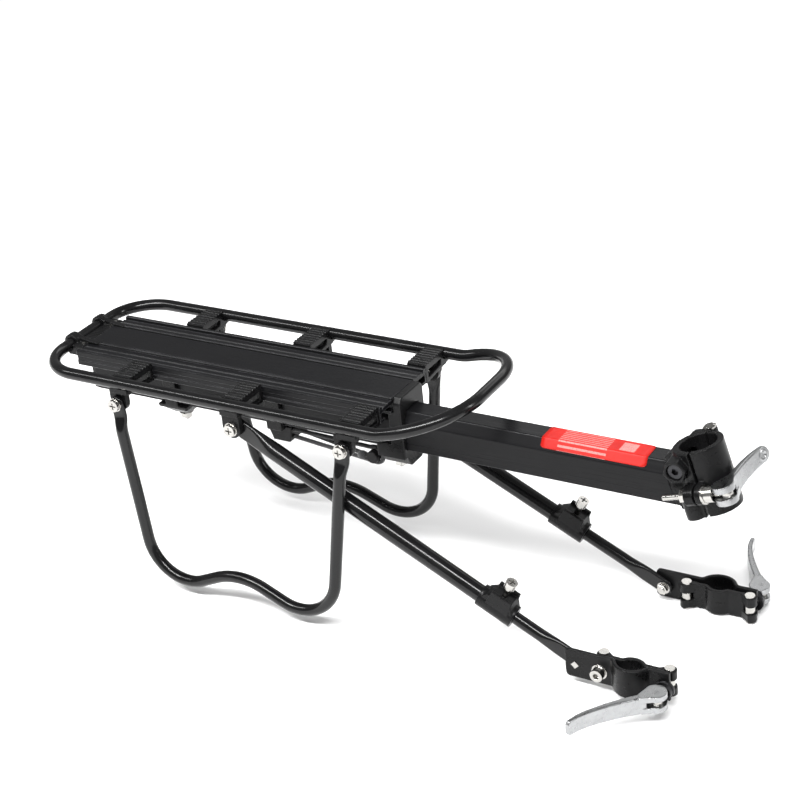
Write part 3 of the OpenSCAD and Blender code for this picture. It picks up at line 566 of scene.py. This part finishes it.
def guard(name, side):
    """A wheel guard: a bent tube with both ends pressed flat round their bolts."""
    def place(x, z):
        drop = GUARD_BOLT_Z - z
        y = GUARD_Y + drop * sin(GUARD_SPLAY)
        return Vector((x, side * y, GUARD_BOLT_Z - drop * cos(GUARD_SPLAY)))

    def pressed_end(tip, inner):
        return [tip + (inner - tip).normalized() * s for s in GUARD_STEPS]

    corners = [place(x, z) for x, z in GUARD_CORNERS]
    for end, inner in ((0, 1), (-1, -2)):
        corners[end] = corners[end] + (corners[end] - corners[inner]).normalized() * GUARD_FLAT[0]
    path = rounded_path(corners, GUARD_BENDS)
    clear = GUARD_STEPS[-1] + 2
    middle = [p for p in path if min((p - path[0]).length, (p - path[-1]).length) > clear]
    path = pressed_end(path[0], path[1]) + middle + pressed_end(path[-1], path[-2])[::-1]
    total = path_length(path)
    outward = Vector((0, side * cos(GUARD_SPLAY), sin(GUARD_SPLAY)))

    def shape(s):
        near = min(s, total - s)
        t = ease_in((near - GUARD_PRESSED) / GUARD_PRESSED)
        half_w, half_t = (GUARD_FLAT[k] + (TUBE_R - GUARD_FLAT[k]) * t for k in (0, 1))
        tip = GUARD_FLAT[0] - near
        if tip > 0:
            half_w = sqrt(max(GUARD_FLAT[0] ** 2 - tip**2, TIP_CLIP))
        shift = -(1 - t) * (GUARD_OFFSET + near * sin(GUARD_SPLAY))
        return half_w, half_t, half_t, shift

    piece = pipe(f"guard_tube_{name}", path, outward, shape, "deck")
    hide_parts(f"guard_{name}")


STRAP_Y = 19.6
STRAP_HALF = 2.6
HOOK_INNER = TUBE_R + 0.1
HOOK_OUTER = TUBE_R + 3.2
RIB_PITCH = 3.1
RIB_HALF = 0.8


def hook_straps(bm):
    """Straps from the plate's ridges over the rear tube, and cross ribs between them."""
    arc = [pi * (1 - i / 20) for i in range(16)]
    outline = [(LOOP_REAR + HOOK_OUTER * cos(a), DECK_Z + HOOK_OUTER * sin(a)) for a in arc]
    outline += [(-613, 28.4), (-600, 27.1), (-600, 26.2), (-613, 25.5), (-623, 25.5)]
    outline += [(LOOP_REAR + HOOK_INNER * cos(a), DECK_Z + HOOK_INNER * sin(a)) for a in reversed(arc)]
    for y in (-STRAP_Y, STRAP_Y):
        prism(bm, outline, lambda u, v, w: Vector((u, w, v)), y - STRAP_HALF, y + STRAP_HALF)
    for i in range(-9, 10):
        y = i * RIB_PITCH
        block(bm, (-623.5, y - RIB_HALF, 24), (-613, y + RIB_HALF, 26.3))


def shortened(bm):
    """Brings the rear saddle's foot up a little and narrows it, clear of its nut."""
    foot, share, taper = -29, 0.82, 0.045
    for vert in bm.verts:
        below = foot - vert.co.z
        if below > 0:
            vert.co.z = foot - below * share
            vert.co.y *= 1 - taper * below


# x of each saddle bolt and z of the face its washer sits on
SADDLE_BOLTS = ((-290, -44), (-525, -41))


def saddle_bolts():
    """Washer, hexagon nut and rounded thread end below each saddle."""
    bm = bmesh.new()
    for x, z in SADDLE_BOLTS:
        top = Vector((x, 0, z))
        washer = [(0, -8), (BOLT_R, -8), (BOLT_R, 0), (6.8, 0), (6.8, 1.0), (6.5, 1.3), (0, 1.3)]
        lathe(bm, top, -UPWARDS, washer)
        prism(bm, polygon(5.7, 6), lambda u, v, w: Vector((x + u, v, z - w)), 1.3, 5.9)
        thread = [(0, 5), (BOLT_R, 5)]
        for k in range(4):
            thread += [(BOLT_R, 5.9 + 0.6 * k), (BOLT_R - 0.3, 6.2 + 0.6 * k)]
        lathe(bm, top, -UPWARDS, thread + [(1.8, 8.6), (0, 8.9)])
    piece = finish_mesh("saddle_nuts", bm, "deck", bright_steel, smooth=False)
    soften(piece, 0.25)
    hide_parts("saddle_bolts")


# x and z of each bolt in a bracket, and y of the face its nut sits on
LUG_BOLTS = ((-537, 4.5, 71.9), (-296.5, 4.5, 71.9), (-413, 0.5, 67.0))


def lug_nuts():
    """Nuts and thread ends inside the brackets, on the guard and strut bolts."""
    bm = bmesh.new()
    thread = [(0, 0.5), (BOLT_R, 0.5), (BOLT_R, 5.4), (2.0, 6.0), (0, 6.0)]
    for side in SIDES.values():
        inward = Vector((0, -side, 0))
        for x, z, y in LUG_BOLTS:
            start = Vector((x, side * y, z))
            prism(bm, polygon(4.7, 6), lambda u, v, w: start + inward * w + Vector((u, 0, v)), 0, 4.2)
            lathe(bm, start, inward, thread)
    piece = finish_mesh("lug_nuts", bm, "deck", bright_steel, smooth=False)
    soften(piece, 0.2)


def deck_castings():
    """Cast brackets, saddles and hooks of the deck."""
    for name in SIDES:
        for row in ("rear", "mid", "front"):
            cast(f"bracket_{row}_{name}", 0.5, 4, "deck")
    cast("front_saddle", 0.55, 12, "deck")
    cast("rear_hooks", 0.45, 5, "deck", hook_straps)
    cast("rear_saddle", 0.55, 6, "deck", shortened)
    cast("mid_hanger", 0.55, 6, "deck")


def label():
    """Film over the beam's flat top and most of its right chamfer, with rounded corners."""
    (rear, right, low), (front, _, high) = (mm(corner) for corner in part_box("beam_label"))
    flat, corner = 9.3, 3.0
    rows_across, cells_along = 40, 24
    over = [(flat - 0.1, high - 0.05), (-flat + 0.5, high - 0.05), (-flat, high - 0.3), (right, low + 0.2)]
    lengths = [0.0]
    for a, b in zip(over, over[1:]):
        lengths.append(lengths[-1] + hypot(b[0] - a[0], b[1] - a[1]))
    bm = bmesh.new()
    rows = []
    for i in range(rows_across + 1):
        s = lengths[-1] * i / rows_across
        leg = max(k for k in range(3) if lengths[k] <= s + 1e-6)
        t = (s - lengths[leg]) / (lengths[leg + 1] - lengths[leg])
        y, z = (over[leg][k] + (over[leg + 1][k] - over[leg][k]) * t for k in (0, 1))
        short = max(0.0, corner - min(s, lengths[-1] - s))
        inset = corner - sqrt(max(0.0, corner**2 - short**2))
        step = (front - rear - 2 * inset) / cells_along
        rows.append([bm.verts.new((rear + inset + step * k, y, z)) for k in range(cells_along + 1)])
    for a, b in zip(rows, rows[1:]):
        for k in range(cells_along):
            bm.faces.new((a[k], a[k + 1], b[k + 1], b[k]))
    piece = finish_mesh("label_film", bm, "beam", red_film)
    film_depth = piece.modifiers.new("film", "SOLIDIFY")
    film_depth.thickness = 0.18 * MM
    film_depth.offset = 0
    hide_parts("beam_label")


CORD_R = 2.0
CORD_REAR = -402
CORD_STEPS = 20
LUG = Vector((-314, -4, -44))
LUG_TURN = 8.1


def cord():
    """Elastic cord: one length goes round the saddle's lug and back, a second is tied on it."""
    def on_lug(angle, side):
        return LUG + Vector((LUG_TURN * cos(angle), side, LUG_TURN * sin(angle)))

    over = [on_lug(radians(118 - 228 * i / 30), -0.6 + 1.2 * i / 30) for i in range(31)]
    bm = bmesh.new()

    def run(path):
        sweep(bm, path, Vector((0, 1, 0.01)), round_bar(CORD_R))

    into = straight(Vector((CORD_REAR, -7, -33)), over[0], CORD_STEPS)
    back = straight(over[-1], Vector((CORD_REAR, -5, -41.5)), CORD_STEPS)
    run(into[:-1] + over + back[1:])
    run(straight(Vector((CORD_REAR, 1, -36.5)), on_lug(radians(205), 1.5), CORD_STEPS))
    knot = [(0, -4), (3.4, -3.6), (4.1, 0), (3.4, 3.6), (0, 4)]
    lathe(bm, LUG + Vector((-14, 0.5, -3.4)), Vector((1, 0, -0.1)), knot, 24)
    piece = finish_mesh("cord_runs", bm, "deck", cord_sleeve)
    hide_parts("luggage_cord")


# ---------- struts ----------


STRUT_R = 7.8
STRUT_TIP_R = 9.0
STRUT_TIP_CLIP = 0.4
STRUT_END = 286
ROD_R = 5.5
ROD_TIP_R = 7.5
ROD_START = 130
FLAT_HALF = 2.4
FINE_STEPS = 12
COARSE_STEP = 14


def strut_axis(name):
    """The strut's pivot and its direction, down to the front."""
    pivot = mm(joints[f"strut_{name}_swing"]["pos_m"])
    return pivot, Vector(joints[f"rod_{name}_slide"]["axis"]).normalized()


def stepped(start, stop, fine):
    """Lengths from start to stop, with short steps over each of the fine stretches."""
    marks = {start, stop}
    for low, high in fine:
        marks |= {low + (high - low) * i / FINE_STEPS for i in range(FINE_STEPS + 1)}
    coarse = ceil((stop - start) / COARSE_STEP)
    marks |= {start + (stop - start) * i / coarse for i in range(coarse + 1)}
    return sorted(marks)


def flat_end(x, tip_r, full_r, flat, grow, clip):
    """Section of a bar at x from the bolt of its flattened, rounded end: flat as far as `flat`
    and round after `grow` more."""
    t = ease_in((x - flat) / grow)
    half_w = tip_r + (full_r - tip_r) * t
    if x < 0:
        half_w = sqrt(max(tip_r**2 - x * x, clip))
    half_t = FLAT_HALF + (full_r - FLAT_HALF) * t
    return half_w, half_t, half_t, 0


def strut(name):
    """The outer tube of a telescopic strut, pressed flat round its bolt, and its collar."""
    pivot, ahead = strut_axis(name)
    lengths = stepped(-STRUT_TIP_R, STRUT_END, [(-STRUT_TIP_R, 0), (12, 46)])
    path = [pivot + ahead * s for s in lengths]

    def shape(s):
        return flat_end(s - STRUT_TIP_R, STRUT_TIP_R, STRUT_R, 13, 32, STRUT_TIP_CLIP)

    piece = pipe(f"strut_tube_{name}", path, ACROSS, shape, f"strut_{name}")
    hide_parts(f"strut_{name}")
    cast(f"collar_{name}", 0.4, 5, f"strut_{name}")


def rod(name):
    """The rod that slides in a strut, pressed flat round the clamp's bolt."""
    pivot, ahead = strut_axis(name)
    bolt = mm(joints[f"clamp_{name}_swing"]["pos_m"])
    reach = (bolt - pivot).dot(ahead)
    lengths = stepped(ROD_START, reach + ROD_TIP_R, [(reach, reach + ROD_TIP_R), (reach - 42, reach - 8)])
    path = [pivot + ahead * s for s in lengths]

    def shape(s):
        return flat_end(reach - ROD_START - s, ROD_TIP_R, ROD_R, 18, 22, TIP_CLIP)

    piece = pipe(f"rod_tube_{name}", path, ACROSS, shape, f"rod_{name}")
    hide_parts(f"rod_{name}")


# ---------- clamps ----------


# Seatstay clamp: x from its bolt at the rod, y from the rack's middle, z from the bolt
STAY_X = 50
HINGE_X = 22.5
EYE_X = 81
PLATE_Z = (-13, 14.5)
JAW_Z = (-12, 12)
FORK_Z = (-4.3, 3.3)
JAW_Y = 65.6
KNUCKLE_R = 6.1
KNUCKLE_FLAT = 4.6
# base, peak, arc radius and fillet radius of each wall's middle line, as swell takes them
PLATE_LINE = (73.75, 84.25, 16, 5)
JAW_LINE = (68.0, 63.4, 12, 4)
# half thickness of the plate and of the jaw, and the corner radius and step of both
WALL_HALF = 1.75
JAW_HALF = 2.0
WALL_CORNER = 0.9
WALL_STEP = 0.6
# Levers: cam head, inner and outer face of its fork, and each arm's direction
CAM_R = 9.2
CAM_OFFSET = 1.6
FORK = (2.7, 8)
STAY_ARM = {"left": radians(120.5), "right": radians(134)}
SEAT_ARM = radians(88)


def swell(x, base, peak, arc, fillet):
    """y of a clamp wall's middle line: straight at base, with an arc of the given radius up to
    peak round the seatstay and a fillet on either side of it."""
    way = 1 if peak > base else -1
    rise = way * (peak - base)
    off = abs(x - STAY_X)
    reach = sqrt((arc + fillet) ** 2 - (arc + fillet - rise) ** 2)
    if off >= reach:
        return base
    if off > reach * arc / (arc + fillet):
        return base + way * (fillet - sqrt(fillet**2 - (reach - off) ** 2))
    return base + way * (rise - arc + sqrt(arc**2 - off**2))


def wall(bm, bolt, side, line, x0, x1, heights, half_t, round_end=0.0):
    """An upright strip of a clamp from x0 to x1 between two heights, along one of the lines above,
    with corners of radius round_end at x0."""
    z0, z1 = heights
    steps = ceil((x1 - x0) / WALL_STEP)
    path = []
    for i in range(steps + 1):
        x = x0 + (x1 - x0) * i / steps
        path.append(Vector((bolt.x + x, side * swell(x, *line), bolt.z + (z0 + z1) / 2)))

    def shape(s):
        short = max(0.0, round_end - s)
        return half_t, (z1 - z0) / 2 - round_end + sqrt(round_end**2 - short**2), WALL_CORNER, 0

    sweep(bm, path, UPWARDS, shape)


def stay_clamp(name, side):
    """The outer plate of a seatstay clamp, forked at its front end for the eyebolt."""
    bolt = mm(joints[f"clamp_{name}_swing"]["pos_m"])
    bm = bmesh.new()
    wall(bm, bolt, side, PLATE_LINE, -9, 77, PLATE_Z, WALL_HALF, 3.5)
    for heights in ((FORK_Z[1], PLATE_Z[1]), (PLATE_Z[0], FORK_Z[0])):
        wall(bm, bolt, side, PLATE_LINE, 75, 84.5, heights, WALL_HALF)
    # raised boss where the hinge bolt passes
    centre = Vector((bolt.x + HINGE_X, side * 72.2, bolt.z - 0.5))
    lathe(bm, centre, ACROSS * side, [(0, 0), (8.6, 0), (8.6, 3.0), (7.8, 3.5), (0, 3.5)])
    casting(f"stay_clamp_{name}_casting", bm, 0.38, 5, f"clamp_{name}", f"stay_clamp_{name}")


def stay_jaw(name, side):
    """The inner jaw of a seatstay clamp, with a forked knuckle at either end."""
    bolt = mm(joints[f"clamp_{name}_swing"]["pos_m"])
    bm = bmesh.new()
    wall(bm, bolt, side, JAW_LINE, HINGE_X + 5.9, EYE_X - 5.9, JAW_Z, JAW_HALF)
    for centre, inward in ((HINGE_X, 1), (EYE_X, -1)):
        outline = [(centre + inward * 8.5, JAW_Y + 4.3), (centre + inward * 8.5, JAW_Y + 0.6)]
        turns = (-pi * i / 16 for i in range(17))
        for a in turns:
            # flat towards the plate, so that the jaw can close on a thinner tube
            y = JAW_Y - max(KNUCKLE_R * cos(a), -KNUCKLE_FLAT)
            outline.append((centre + inward * KNUCKLE_R * sin(a), y))
        for low, high in ((JAW_Z[0], FORK_Z[0]), (FORK_Z[1], JAW_Z[1])):
            prism(bm, outline, lambda u, v, w: Vector((bolt.x + u, side * v, bolt.z + w)), low, high)
    casting(f"stay_jaw_{name}_casting", bm, 0.38, 5, f"jaw_{name}", f"stay_jaw_{name}")


def lever(node, body, pin, along, bow, axis, length, cam_at, curl, tip_r, tip_hole=False):
    """A quick-release lever: a forked cam head round its pin, and an arm along `along` that
    bows towards `bow`, with its tip curled the other way. cam_at is the cam's direction from
    the pin, measured from the arm."""
    root, tip_slim = 10, 1.1
    root_half, tip_thin = 3.5, 1.5
    bulge, droop, curl_start = 2, 4, 0.72
    cam = (CAM_OFFSET * cos(cam_at), CAM_OFFSET * sin(cam_at))
    bm = bmesh.new()

    def place(u, v, w):
        return pin + along * u + bow * v + axis * w

    round_part = (radians(52 + 256 * i / 36) for i in range(37))
    outline = [(cam[0] + CAM_R * cos(a), cam[1] + CAM_R * sin(a)) for a in round_part]
    outline += [(15, -3.1), (15, 3.6)]
    for low, high in ((-FORK[1], -FORK[0]), (FORK[0], FORK[1])):
        prism(bm, outline, place, low, high)
    steps = 40
    path = []
    for i in range(steps + 1):
        t = i / steps
        lift = bulge * sin(pi * t) - droop * t * t - curl * max(0.0, t - curl_start) ** 2
        path.append(place(root + (length - root) * t, lift, 0))
    total = path_length(path)

    def shape(s):
        t = s / total
        left = total - s
        short = max(0.0, tip_r - left)
        half_h = FORK[1] - tip_slim * t - tip_r + sqrt(tip_r**2 - short**2)
        return root_half - tip_thin * t, max(0.4, half_h), 1.3, 0

    sweep(bm, path, axis, shape)
    piece = casting(f"{node}_forging", bm, 0.36, 5, body, node, lever_metal)
    if tip_hole:
        dimple(piece, place(length - 8, -5.5, 0), bow)


def dimple(piece, centre, axis):
    """A shallow round hollow with a raised rim, pressed into a lever's tip."""
    centre = centre * MM
    for vert in piece.data.vertices:
        out = vert.co - centre
        along = out.dot(axis)
        off = (out - axis * along).length / MM
        if abs(along) < 12 * MM and off < 5.5 and vert.normal.dot(axis) < -0.3:
            hollow = 0.9 * (1 - ease_in((off - 2.2) / 1.3))
            rim = 0.35 * ease_in((off - 2.6) / 0.8) * (1 - ease_in((off - 3.8) / 1.2))
            vert.co += axis * (hollow - rim) * MM


def stay_bolt(name, side):
    """Coach bolt: small square neck flush in the clamp plate, washer and nut inside the rod."""
    bolt = mm(joints[f"clamp_{name}_swing"]["pos_m"])
    origin = Vector((bolt.x, 0, bolt.z))
    outwards = ACROSS * side

    def place(u, v, w):
        return origin + outwards * w + Vector((u, 0, v))

    bm = bmesh.new()
    lathe(bm, origin, outwards, [(0, 61), (2.4, 61.3), (BOLT_R, 62), (BOLT_R, 75), (0, 75)])
    lathe(bm, origin, outwards, [(0, 66), (5.8, 66), (6, 66.2), (6, 66.8), (5.8, 67), (0, 67)])
    prism(bm, polygon(3.7, 4), place, 74, 76.2)
    prism(bm, polygon(5, 6), place, 62.2, 66)
    body = f"clamp_{name}"
    piece = finish_mesh(f"coach_bolt_{name}", bm, body, bright_steel, smooth=False)
    soften(piece, 0.2)
    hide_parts(f"stay_bolt_{name}")


def skewer_thread():
    """Thread on the seatpost skewer's open end."""
    pitch, turns = 0.8, 19
    outline = [(0, -31), (2.2, -30.9)]
    for k in range(turns):
        outline += [(2.65, -30.4 + pitch * k), (2.3, -30.0 + pitch * k)]
    bm = bmesh.new()
    axis = SEATPOST_LEAN @ Vector((1, 0, 0))
    lathe(bm, SEATPOST_LEAN @ Vector((0, -26.5, -5)), axis, outline + [(0, -15)])
    finish_mesh("skewer_thread", bm, "beam", bright_steel)


def clamps():
    """Everything that clamps the rack to the bicycle."""
    skewer_thread()
    for name, side in SIDES.items():
        stay_clamp(name, side)
        stay_jaw(name, side)
        stay_bolt(name, side)
        pin = mm(joints[f"lever_{name}_turn"]["pos_m"])
        arm = STAY_ARM[name]
        along = Vector((cos(arm), side * sin(arm), 0))
        bow = Vector((-sin(arm), side * cos(arm), 0))
        lever(f"stay_lever_{name}", f"lever_{name}", pin, along, bow, UPWARDS, 80, radians(90), 40, 2.2)
    pin = mm(joints["seatpost_lever_turn"]["pos_m"])
    along = SEATPOST_LEAN @ Vector((cos(SEAT_ARM), sin(SEAT_ARM), 0))
    bow = SEATPOST_LEAN @ Vector((-sin(SEAT_ARM), cos(SEAT_ARM), 0))
    axis = SEATPOST_LEAN @ UPWARDS
    lever("seatpost_lever", "seatpost_lever", pin, along, bow, axis, 70, radians(87), 20, 6.6, True)
    cast("seatpost_bracket", 0.45, 6, "beam")
    cast("seatpost_jaw", 0.45, 6, "seatpost_jaw")


# ---------- plain CAD nodes with their finish ----------


def dress(node, material, width=0.25):
    """Gives a CAD node its material and rounds its edges."""
    piece = nodes[node]
    piece.data.materials.clear()
    piece.data.materials.append(material)
    soften(piece, width)


def dressed_nodes():
    """CAD nodes that are seen as they are."""
    dress("beam", anodised_black, 0.8)
    dress("beam_end_cap", plastic_black, 0.6)
    dress("bracket_bolt", dark_steel)
    for node in ("seatpost_hinge_pin", "seatpost_skewer", "seatpost_washers"):
        dress(node, bright_steel)
    for node in ("hook_screws", "guard_bolts", "strut_pivot_bolts"):
        dress(node, bright_steel)
    for name in SIDES:
        for node in ("collar_screw", "hinge_bolt", "jaw_pins", "stay_eyebolt"):
            dress(f"{node}_{name}", bright_steel)
        dress(f"stay_washers_{name}", dark_steel)


# ---------- stage ----------

TARGET = Vector((-0.285, 0, 0.0142))
DISTANCE = 1.622
AZIMUTH = radians(32.84)
ELEVATION = radians(27.61)
ROLL = radians(-5.96)
LENS = 83.9
SENSOR = 36


def camera():
    """Long lens, looking down on the rack from its right and front."""
    back = Vector((sin(AZIMUTH) * cos(ELEVATION), -cos(AZIMUTH) * cos(ELEVATION), sin(ELEVATION)))
    right = Vector((cos(AZIMUTH), sin(AZIMUTH), 0))
    up = back.cross(right)
    turned = right * cos(ROLL) + up * sin(ROLL)
    risen = up * cos(ROLL) - right * sin(ROLL)
    data = bpy.data.cameras.new("camera")
    data.lens = LENS
    data.sensor_width = SENSOR
    eye = bpy.data.objects.new("camera", data)
    bpy.context.scene.collection.objects.link(eye)
    facing = Matrix((turned, risen, back)).transposed().to_4x4()
    eye.matrix_world = Matrix.Translation(TARGET + back * DISTANCE) @ facing
    bpy.context.scene.camera = eye


def softbox(name, place, aim, size, power):
    """An area light of the given size in metres."""
    data = bpy.data.lights.new(name, "AREA")
    data.shape = "RECTANGLE"
    data.size, data.size_y = size
    data.energy = power
    lamp = bpy.data.objects.new(name, data)
    bpy.context.scene.collection.objects.link(lamp)
    place, aim = Vector(place), Vector(aim)
    lamp.location = place
    lamp.rotation_euler = (aim - place).to_track_quat("-Z", "Y").to_euler()
    return lamp


def stage():
    """Pale floor, dim white surroundings and softboxes; the big one lights without being mirrored."""
    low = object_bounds()[0][2]
    bm = bmesh.new()
    bmesh.ops.create_grid(bm, x_segments=1, y_segments=1, size=6)
    mesh = bpy.data.meshes.new("floor")
    bm.to_mesh(mesh)
    bm.free()
    floor = bpy.data.objects.new("floor", mesh)
    floor.location = (-0.3, 0, low - 0.0005)
    bpy.context.scene.collection.objects.link(floor)
    g = Graph("pale_floor")
    g.set(Base_Color=(0.9, 0.9, 0.9, 1), Roughness=0.9)
    mesh.materials.append(g.material)
    floor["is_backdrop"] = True
    world = bpy.data.worlds.new("studio")
    world.use_nodes = True
    background = world.node_tree.nodes["Background"]
    background.inputs["Color"].default_value = (1, 1, 1, 1)
    background.inputs["Strength"].default_value = 0.27
    bpy.context.scene.world = world
    overhead = softbox("overhead", (-0.3, 0.9, 3.4), (-0.3, 0.5, 0), (4.5, 4.5), 104)
    overhead.visible_glossy = False
    softbox("strip", (-0.1, -1.2, 1.7), (-0.3, 0, 0), (2.4, 0.2), 84)
    softbox("rails", (-1.8, -1.1, 1.7), (-1.8, 0.1, 0), (2.0, 0.16), 30)
    softbox("back", (-0.3, 2.2, 1.5), (-0.3, 0, 0), (2.6, 0.5), 9)
    softbox("side", (1.5, 0.5, 0.8), (-0.2, 0, 0), (0.2, 0.8), 8)
    bpy.context.scene.view_settings.view_transform = "Standard"


camera()
loop_tube()
deck_extrusion()
for side_name, side_sign in SIDES.items():
    guard(side_name, side_sign)
    strut(side_name)
    rod(side_name)
deck_castings()
saddle_bolts()
lug_nuts()
label()
cord()
clamps()
dressed_nodes()
stage()
